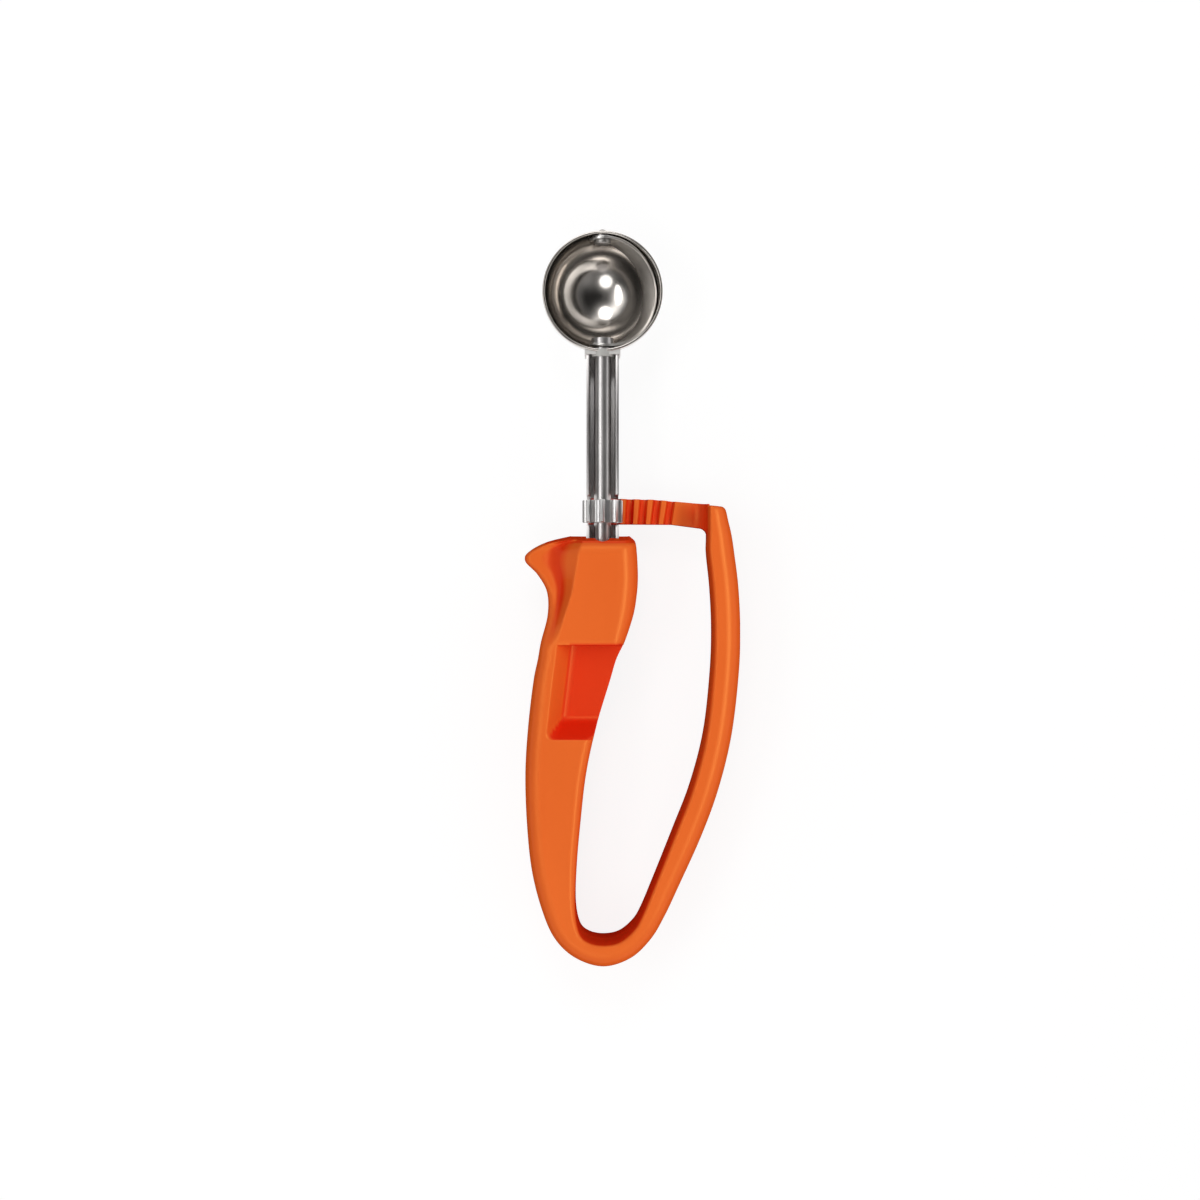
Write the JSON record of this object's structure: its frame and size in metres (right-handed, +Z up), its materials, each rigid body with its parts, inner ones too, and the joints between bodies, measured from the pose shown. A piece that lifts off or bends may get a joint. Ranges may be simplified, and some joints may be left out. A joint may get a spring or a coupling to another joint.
{
  "type": "lever ice cream scoop",
  "caption": "Small squeeze disher: steel bowl with a scraper turned by a rack and pinion, one-piece moulded plastic handle with a springy lever.",
  "frame": {"origin": "middle of the bounding box's underside, on the table that the scoop lies on", "axes": "+Y along the shank towards the bowl, +Z up with the bowl's mouth, +X towards the lever's side; the shank is pitched up by 1.64 degrees because the bowl is deeper than the handle"},
  "size_m": [0.0568, 0.195, 0.0253],
  "materials": {
    "orange_plastic": "moulded, semi-gloss",
    "brushed_sheet": "folded stainless sheet, lightly brushed",
    "polished_sheet": "polished stainless sheet",
    "plain_steel": "drawn stainless bar",
    "cut_steel": "cut and tumbled stainless steel",
    "white_nylon": "turned nylon"
  },
  "bodies": {
    "handle": {"handle_body": "orange_plastic", "flex_bow": "orange_plastic", "shank_channel": "brushed_sheet", "shank_pin": "plain_steel", "bowl": "polished_sheet", "bowl_collar": "polished_sheet", "upper_bush": "white_nylon", "lower_bush": "white_nylon", "upper_washer": "plain_steel"},
    "lever": {"squeeze_lever": "orange_plastic", "gear_rack": "orange_plastic"},
    "scraper": {"drive_rod": "plain_steel", "pinion": "cut_steel", "lower_washer": "plain_steel", "retaining_ring": "plain_steel", "scraper_blade": "polished_sheet", "blade_hub": "plain_steel", "tip_pin": "plain_steel", "tip_washer": "plain_steel"}
  },
  "joints": [
    {"name": "lever_squeeze", "type": "hinge", "parent": "handle", "child": "lever", "pos_m": [-0.00779, -0.0923, 0.01104], "axis": [0, -0.0287, 0.9996], "range_deg": [0, 5.68], "stiffness_Nm_per_rad": 12, "deforming": ["flex_bow"]},
    {"name": "scraper_turn", "type": "hinge", "parent": "handle", "child": "scraper", "pos_m": [-0.00779, 0.02241, 0.01433], "axis": [0, 0.9996, 0.0287], "range_deg": [0, 145]}
  ],
  "couplings": [
    {"joint": "scraper_turn", "follows": "lever_squeeze", "ratio": 25.5}
  ]
}
